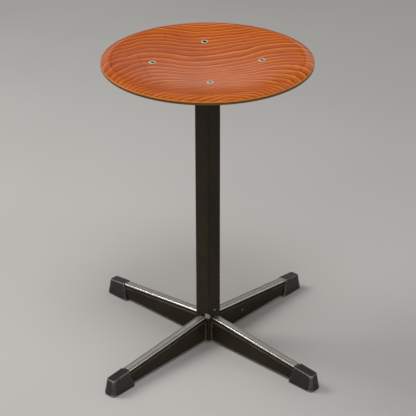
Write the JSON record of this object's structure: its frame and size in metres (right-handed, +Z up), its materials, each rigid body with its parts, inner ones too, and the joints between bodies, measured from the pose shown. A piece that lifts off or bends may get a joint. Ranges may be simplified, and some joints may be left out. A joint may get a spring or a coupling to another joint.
{
  "type": "adjustable swivel stool",
  "caption": "Swivel stool with a dished round plywood seat on a threaded spindle in a square column, on a four-leg cross base with bright trim strips and rubber feet.",
  "frame": {"origin": "on the floor, on the column's axis, under the middle of the four feet", "axes": "+Z up along the column; the four legs lie along +X, +Y, -X and -Y"},
  "size_m": [0.4862, 0.4862, 0.523],
  "materials": {
    "frame_paint": "satin black enamel on welded steel",
    "seat_bracket_paint": "satin black enamel",
    "black_plastic": "matte black plastic",
    "foot_rubber": "moulded black rubber",
    "trim_aluminium": "extruded bright trim, finely ribbed along its length",
    "bare_steel": "turned bare steel",
    "screw_plating": "zinc plated",
    "rivet_metal": "nickel plated tubular rivets",
    "nylon": "natural nylon",
    "seat_wood": "stained and varnished beech plywood"
  },
  "bodies": {
    "base": {"column_tube": "frame_paint", "column_plug": "black_plastic", "plug_screw": "screw_plating", "spindle_nut": "bare_steel", "nut_screw_1": "screw_plating", "nut_screw_2": "screw_plating", "thrust_washer": "nylon", "leg_1": "frame_paint", "leg_2": "frame_paint", "leg_3": "frame_paint", "leg_4": "frame_paint", "trim_rail_1": "black_plastic", "trim_rail_2": "black_plastic", "trim_rail_3": "black_plastic", "trim_rail_4": "black_plastic", "trim_strip_1": "trim_aluminium", "trim_strip_2": "trim_aluminium", "trim_strip_3": "trim_aluminium", "trim_strip_4": "trim_aluminium", "foot_1": "foot_rubber", "foot_2": "foot_rubber", "foot_3": "foot_rubber", "foot_4": "foot_rubber"},
    "guide": {"guide_block": "nylon"},
    "seat": {"spindle": "bare_steel", "end_washer": "bare_steel", "end_screw": "screw_plating", "seat_boss": "seat_bracket_paint", "boss_pin": "bare_steel", "seat_spider": "seat_bracket_paint", "seat_shell": "seat_wood", "rivet_1": "rivet_metal", "rivet_2": "rivet_metal", "rivet_3": "rivet_metal", "rivet_4": "rivet_metal"}
  },
  "joints": [
    {"name": "seat_rise", "type": "slide", "parent": "base", "child": "guide", "axis": [0, 0, 1], "range_m": [0, 0.12]},
    {"name": "seat_turn", "type": "hinge", "parent": "guide", "child": "seat", "pos_m": [0, 0, 0.3], "axis": [0, 0, 1], "range_deg": [0, 5400]}
  ],
  "couplings": [
    {"joint": "seat_rise", "follows": "seat_turn", "m_per_rad": 0.0012732}
  ]
}
